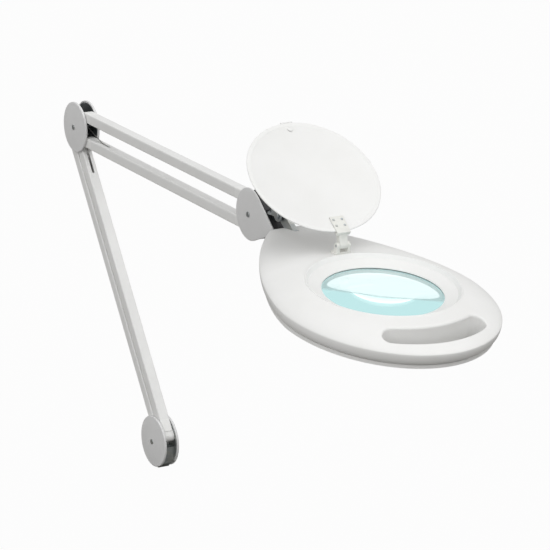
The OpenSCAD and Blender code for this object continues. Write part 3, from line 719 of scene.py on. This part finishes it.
# %% Top shell wall
BEAD_OUT = RECESS_R + 2.0
outside = crown_rings(BEAD_OUT, 0.0, 26)
way = outside[0][:, :2] / np.linalg.norm(outside[0][:, :2], axis=1, keepdims=True)
recess = eased([(OPENING_R, LIP_Z, 0), (OPENING_R, LIP_Z + 0.9, 0.4), (LENS_SEAT_R, 0.15, 0.8),
                (RECESS_R - 4.4, LEDGE - 0.3, 1.2), (RECESS_R - 2.8, LEDGE, 0.8),
                (RECESS_R, HEAD_TOP - 0.6, 0.6), (RECESS_R + 0.6, HEAD_TOP + 0.2, 0.6),
                (RECESS_R + 1.3, HEAD_TOP + 0.15, 0.5), (BEAD_OUT, HEAD_TOP, 0)], closed=False)
bowl = [level(way * radius, height) for radius, height in recess[:-1]]
seat_out, seat_low = LENS_SEAT_R + SHELL_T, LIP_Z - 7
under = [level(way * radius, height) for radius, height in
         ((CROWN_C, LEDGE - SHELL_T), (seat_out, -1.2), (seat_out, seat_low), (LENS_SEAT_R, seat_low),
          (LENS_SEAT_R, LIP_Z))]
inside = crown_rings(BEAD_OUT, SHELL_T, 14)[::-1]
skirts = [skirt(angle) for angle in np.linspace(0, 84, 10)[1:]] + [skirt(90, 0.25)]
lining = [skirt(angle, SHELL_T) for angle in np.linspace(90, 0, 5)[:-1]]
wall = bowl + outside + skirts + lining + inside + under
shell = make("head_top_shell", stacked(wall, closed=True))
show = BVHTree.FromPolygons(*stacked(bowl + outside + skirts))
print("shell rings:", len(wall))

# %% [markdown]
# ## Handle slot
# A curved slot through the front of the head is the handle that the lamp is moved by. Its walls join the two
# shells, and its upper edge is well rounded for the hand. A boolean with a straight cutter would leave a
# knife edge, so the cutter flares: its outline grows along a quarter circle as it comes up to the surface,
# whose height is looked up point by point with a ray.

# %% Handle slot
SLOT_IN, SLOT_OUT, SLOT_C, SLOT_WALL, LIP = 100.0, 98.4, 24.1, 2.0, 2.4
SLOT_END, SLOT_END_R = (97.5, 50.0), 9.6


def arc(centre, radius, start, stop, count):
    """Points on a circle between two angles in degrees."""
    return [(centre[0] + radius * math.cos(t), centre[1] + radius * math.sin(t))
            for t in np.radians(np.linspace(start, stop, count))]


front = arc((SLOT_C, 0), SLOT_OUT, -33, 33, 60)
left_end = arc(SLOT_END, SLOT_END_R, 36, 205, 24)
back = arc((0, 0), SLOT_IN, 26, -26, 60)
right_end = [(x, -y) for x, y in left_end[::-1]]
slot_line = resampled(front + left_end + back + right_end, 200)
for _ in range(4):
    slot_line = (slot_line + (np.roll(slot_line, 1, 0) + np.roll(slot_line, -1, 0)) / 2) / 2
step_on = np.roll(slot_line, -1, 0) - np.roll(slot_line, 1, 0)
out_way = np.stack([step_on[:, 1], -step_on[:, 0]], 1) / np.linalg.norm(step_on, axis=1, keepdims=True)


def surface_height(flat):
    """Height of the show face over each flat point."""
    found = []
    for x, y in flat:
        hit = show.ray_cast(Vector((x, y, 60)), Vector((0, 0, -1)))[0]
        found.append(hit.z if hit else WAIST)
    return np.array(found)


def slot_ring(grow, height):
    return level(slot_line + out_way * grow, height)


face_z = surface_height(slot_line)
grip = [slot_ring(SLOT_WALL + 0.4, RIM + 0.1), slot_ring(SLOT_WALL + 0.4, face_z - 1.1)]
cutter = [slot_ring(0, RIM - 8), slot_ring(0, face_z - LIP)]
for angle in np.radians([15, 30, 45, 60, 75, 90]):
    grow = LIP * (1 - math.cos(angle))
    lift = surface_height(slot_line + out_way * grow) if grow < 4 else face_z
    cutter.append(slot_ring(grow, lift - LIP * (1 - math.sin(angle)) + (0.12 if angle > 1.5 else 0)))
cutter.append(slot_ring(LIP + 1.5, face_z + 6))
cut(shell, make("grip_wall", stacked(grip)), "UNION")
cut(shell, make("grip_cutter", stacked(cutter)))

# %% Neck slot for the steel tongue
NECK_SLOT_HALF, NECK_SLOT_END = 3.4, -174
mouth = eased([(-230, -NECK_SLOT_HALF, 0), (NECK_SLOT_END, -NECK_SLOT_HALF, 2.0),
               (NECK_SLOT_END, NECK_SLOT_HALF, 2.0), (-230, NECK_SLOT_HALF, 0)])
cut(shell, make("neck_cutter", stacked([[(x, y, z) for x, y in mouth] for z in (WAIST - 1, 40)])))
shell.data.transform(HEAD)
place_on(shell, "head", "white_plastic", "top_shell", sharp=32)

# %% [markdown]
# ## Lens
# A real magnifier lens of this size is biconvex, thin at its edge and about a centimetre thicker in the
# middle. It is turned from two arcs of one radius, with a small ground chamfer at the edge.

# %% Lens
LENS_R, LENS_EDGE, CURVE_R = 63.5, 3.0, 350.0


def bulge(radius):
    """Height of a lens face over its edge."""
    return math.sqrt(CURVE_R ** 2 - radius ** 2) - math.sqrt(CURVE_R ** 2 - LENS_R ** 2)


radii = np.linspace(0, LENS_R - 0.3, 20)
over = [(r, LENS_MIDDLE + LENS_EDGE / 2 + bulge(r)) for r in radii]
below = [(r, LENS_MIDDLE - LENS_EDGE / 2 - bulge(r)) for r in radii[::-1]]
ground = [(LENS_R, LENS_MIDDLE + LENS_EDGE / 2 - 0.3), (LENS_R, LENS_MIDDLE - LENS_EDGE / 2 + 0.3)]
lens = make("lens_glass", turned(over + ground + below, 160), HEAD)
place_on(lens, "head", "lens_glass", "lens")

# %% [markdown]
# ## Lid
# The lid is a flat moulded disc that shuts into the recess. It is drawn shut and then swung open about the
# hinge pin, as the CAD does. Its edge is fully rounded, and a shallow step runs round the inner face, where
# the mould thins the disc.

# %% Lid
LID_R, LID_T, LID_OPEN = 74.4, 2.2, math.radians(150.6)
HINGE = Vector((-83.6, 0, 17.4))
swing = Matrix.Translation(HINGE * MM) @ Matrix.Rotation(-LID_OPEN, 4, "Y") @ Matrix.Translation(-HINGE * MM)
LID = HEAD @ swing
lid_z = LEDGE + 0.5
edge = eased([(LID_R - 5.2, lid_z + 0.35, 0.3), (LID_R - 4.6, lid_z, 0.4), (LID_R, lid_z, 0.9),
              (LID_R, lid_z + LID_T, 0.9)], closed=False)
edge = [(LID_R - 5.6, lid_z + 0.35)] + edge[1:-1] + [(LID_R - 0.9, lid_z + LID_T)]
lid = make("lid_disc", turned([(0, lid_z + 0.35)] + edge + [(0, lid_z + LID_T)], 160), LID)
place_on(lid, "lid", "white_plastic", "lid")

# %% [markdown]
# ## Screws and rivets
# Screws and rivets repeat, so one small node tree places them all: it sets a prototype on every point, turns
# it to face the way the point says, spins it by a seeded random angle, and makes the copies real. The
# prototypes are drawn once, a slotted cheese head and a domed rivet.

# %% Tree that sets fixings on points
def group(name, inputs):
    """A Geometry Nodes tree with named inputs, and its input node."""
    tree = bpy.data.node_groups.new(name, "GeometryNodeTree")
    for label, kind in inputs.items():
        tree.interface.new_socket(label, in_out="INPUT", socket_type="NodeSocket" + kind)
    tree.interface.new_socket("Geometry", in_out="OUTPUT", socket_type="NodeSocketGeometry")
    source = tree.nodes.new("NodeGroupInput")
    return tree, {label: Value(tree, source.outputs[label]) for label in inputs}


def close_group(geometry, finish):
    """Ends a tree in Realize Instances and Set Material."""
    real = geometry.node("GeometryNodeRealizeInstances", {"Geometry": geometry})
    painted = geometry.node("GeometryNodeSetMaterial", {"Geometry": real, "Material": finish})
    geometry.node("NodeGroupOutput", {0: painted}, out=None)


def grown(name, tree, start, **values):
    """Runs a tree on a starting mesh and keeps the result as a plain mesh."""
    piece = bpy.data.objects.new(name, start)
    scene.collection.objects.link(piece)
    modifier = piece.modifiers.new("grow", "NODES")
    modifier.node_group = tree
    for item in tree.interface.items_tree:
        if item.in_out == "INPUT" and item.name in values:
            modifier[item.identifier] = values[item.name]
    applied(piece)
    return piece


fixings, given = group("fixings_on_points", {"Geometry": "Geometry", "Fixing": "Object", "Spin": "Float",
                                             "Seed": "Int", "Material": "Material"})
way = given["Geometry"].node("GeometryNodeInputNamedAttribute", {"Name": "way"}, data_type="FLOAT_VECTOR")
tilt = way.node("FunctionNodeAlignRotationToVector", {"Vector": way}, axis="Z")
limits = {2: given["Spin"] * -1, 3: given["Spin"], "Seed": given["Seed"]}
spin = way.node("FunctionNodeRandomValue", limits, 1)
own = way.node("FunctionNodeAxisAngleToRotation", {"Axis": (0, 0, 1), "Angle": spin})
turned_way = way.node("FunctionNodeRotateRotation", {0: tilt, 1: own}, rotation_space="LOCAL")
fixing = way.node("GeometryNodeObjectInfo", {"Object": given["Fixing"]}, "Geometry")
close_group(way.node("GeometryNodeInstanceOnPoints", {"Points": given["Geometry"], "Instance": fixing,
                                                      "Rotation": turned_way}), given["Material"])
print("tree nodes:", len(fixings.nodes))

# %% Prototypes of the screws and rivets


def slotted_screw(name, head_r, head_t, core_r, length, slot_w):
    """A screw along Z with its seat at the origin: a rounded head, a slot and a plain core."""
    profile = eased([(0, head_t, 0), (head_r, head_t * 0.86, head_t * 0.5), (head_r, 0, 0.1), (core_r, 0, 0),
                     (core_r, -length, 0.3), (0, -length, 0)], closed=False)
    screw = make(name, turned(profile, 40))
    half, reach = slot_w / 2, 2 * head_r
    bar = [(-half, -reach), (half, -reach), (half, reach), (-half, reach)]
    cut(screw, make("slot", stacked([[(x, y, z) for x, y in bar] for z in (head_t * 0.45, head_t * 3)])))
    return screw


cover_screw = slotted_screw("cover_screw", 3.2, 1.15, 1.5, 3.0, 0.9)
shell_screw = slotted_screw("shell_screw", 3.0, 1.6, 1.65, 6.0, 0.9)
rivet_profile = [(0, 0.7, 0), (0.9, 0.66, 0.5), (1.6, 0.0, 0.2), (0.9, 0, 0), (0.9, -4.9, 0),
                 (1.6, -4.9, 0.2), (0.9, -5.6, 0.5), (0, -5.65, 0)]
rivet = make("rivet", turned(eased(rivet_profile, closed=False), 24))
for prototype in (cover_screw, shell_screw, rivet):
    print(prototype.name, open_edges(prototype.data), "open edges")


def fixed(name, places, prototype, seed, spin, body, slot, node):
    """Sets a fixing at each (point, way) pair in metres, smooth shaded, as one piece."""
    points = bpy.data.meshes.new(name)
    points.from_pydata([tuple(point) for point, _ in places], [], [])
    ways = points.attributes.new("way", "FLOAT_VECTOR", "POINT")
    ways.data.foreach_set("vector", np.array([tuple(w) for _, w in places], np.float32).ravel())
    piece = grown(name, fixings, points, Fixing=prototype, Spin=spin, Seed=seed, Material=finishes[slot])
    place_on(piece, body, slot, node)


# %% Screws and rivets in place
for seed, (joint, body) in enumerate((("base", "base"), ("elbow", "elbow"), ("head", "head_joint"))):
    x, z = middle(f"{joint}_cover_screws")
    out = (PLATE_OUT + COVER_T + DOME) * MM
    both = [(Vector((x, side * out, z)), Vector((0, side, 0))) for side in (-1, 1)]
    node = f"{joint}_cover_screws"
    fixed(f"{joint}_slotted_screws", both, cover_screw, seed, 0.5, body, "zinc_steel", node)
down = HEAD.to_3x3() @ Vector((0, 0, -1))
bosses = [(x, side * y) for x, y in ((-150, 46), (-20, 98), (60, 84)) for side in (-1, 1)]
under_head = [(HEAD @ Vector((x * MM, y * MM, BASE * MM)), down) for x, y in bosses]
fixed("shell_slotted_screws", under_head, shell_screw, 7, 3.0, "head", "zinc_steel", "shell_screws")
lid_up = LID.to_3x3() @ Vector((0, 0, 1))
rivet_top = (lid_z + LID_T + 1.65) * MM
spots = [(LID @ Vector((x * MM, y * MM, rivet_top)), lid_up) for x in (-68, -60) for y in (-5, 5)]
fixed("lid_domed_rivets", spots, rivet, 3, 1.0, "lid", slot_of["lid_rivets"], "lid_rivets")
for prototype in (cover_screw, shell_screw, rivet):
    bpy.data.objects.remove(prototype)

# %% [markdown]
# ## Balance springs
# Inside one tube of each pair is a close wound spring. A wire runs from it through a slot in the tube and
# hooks over a post in the elbow, and its pull holds the arm up. The coil is a spiral swept with a round
# wire, which Geometry Nodes do from a turn count and a pitch. The hook wire crosses the joint, between the
# tube and the elbow.

# %% Spring trees
coil, given = group("coil_spring", {"Geometry": "Geometry", "Turns": "Float", "Pitch": "Float",
                                    "Coil Radius": "Float", "Wire Radius": "Float", "Material": "Material"})
middle_r = given["Coil Radius"] - given["Wire Radius"]
rise = given["Turns"] * given["Pitch"]
spiral_values = {"Resolution": 14, "Rotations": given["Turns"], "Height": rise,
                 "Start Radius": middle_r, "End Radius": middle_r}
helix = middle_r.node("GeometryNodeCurveSpiral", spiral_values)


def sweep(curve, sides):
    """Ends a tree in a round wire of that many sides along the curve."""
    circle = {"Resolution": sides, "Radius": given["Wire Radius"]}
    section = curve.node("GeometryNodeCurvePrimitiveCircle", circle)
    ends = {"Curve": curve, "Profile Curve": section, "Fill Caps": True}
    close_group(curve.node("GeometryNodeCurveToMesh", ends), given["Material"])


sweep(helix, 8)

wire, given = group("bent_wire", {"Geometry": "Geometry", "Wire Radius": "Float", "Material": "Material"})
path = given["Geometry"].node("GeometryNodeMeshToCurve", {"Mesh": given["Geometry"]})
sweep(path, 12)
print("coil tree:", len(coil.nodes), "nodes; wire tree:", len(wire.nodes), "nodes")

# %% Springs in place
SPRING_START, COILS, PITCH, SPRING_R, WIRE_R = 62, 36, 2.6, 3.0, 0.6
POSTS = {"lower": (8, -9.3), "upper": (14, 3)}
elbow_x, elbow_z = middle("elbow_cover_screws")
SPRINGS = {
    # arm: (joint at the elbow, direction joint at the far end, body of the tube)
    "lower": ("elbow_link", "lower_arm_swing", "lower_front_arm"),
    "upper": ("upper_arm_swing", "head_link", "upper_bottom_arm"),
}
for arm, (near_joint, far_joint, body) in SPRINGS.items():
    start = pivot[near_joint]
    along = (pivot[far_joint] - start).normalized()
    radii = {"Coil Radius": SPRING_R * MM, "Wire Radius": WIRE_R * MM}
    spiral = grown(f"{arm}_spring_coils", coil, bpy.data.meshes.new("start"), Turns=float(COILS),
                   Pitch=PITCH * MM, Material=finishes["spring_steel"], **radii)
    stand = along.to_track_quat("Z", "Y").to_matrix().to_4x4()
    spiral.data.transform(Matrix.Translation(start + along * SPRING_START * MM) @ stand)
    place_on(spiral, body, "spring_steel", f"{arm}_spring")
    post = Vector((elbow_x + POSTS[arm][0] * MM, 0, elbow_z + POSTS[arm][1] * MM))
    tail = start + along * (SPRING_START + 1) * MM
    back_way = (tail - post).normalized()
    side_way = Vector((-back_way.z, 0, back_way.x))
    loop = [post + (back_way * math.cos(t) + side_way * math.sin(t)) * 1.85 * MM
            for t in np.radians(np.linspace(-300, 0, 16))]
    line = loop + [loop[-1].lerp(tail, t) for t in np.linspace(0, 1, 24)[1:]]
    hook = bpy.data.meshes.new("hook")
    hook.from_pydata([tuple(p) for p in line], [(i, i + 1) for i in range(len(line) - 1)], [])
    hooked = grown(f"{arm}_spring_hook_wire", wire, hook, Material=finishes["spring_steel"],
                   **{"Wire Radius": WIRE_R * MM})
    shade(hooked, "spring_steel")
    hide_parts(f"{arm}_spring")
    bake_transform(hooked)

# %% [markdown]
# ## Sizes
# The CAD model's box is printed.

# %% Sizes, and the end
print("CAD box:", cad_box)
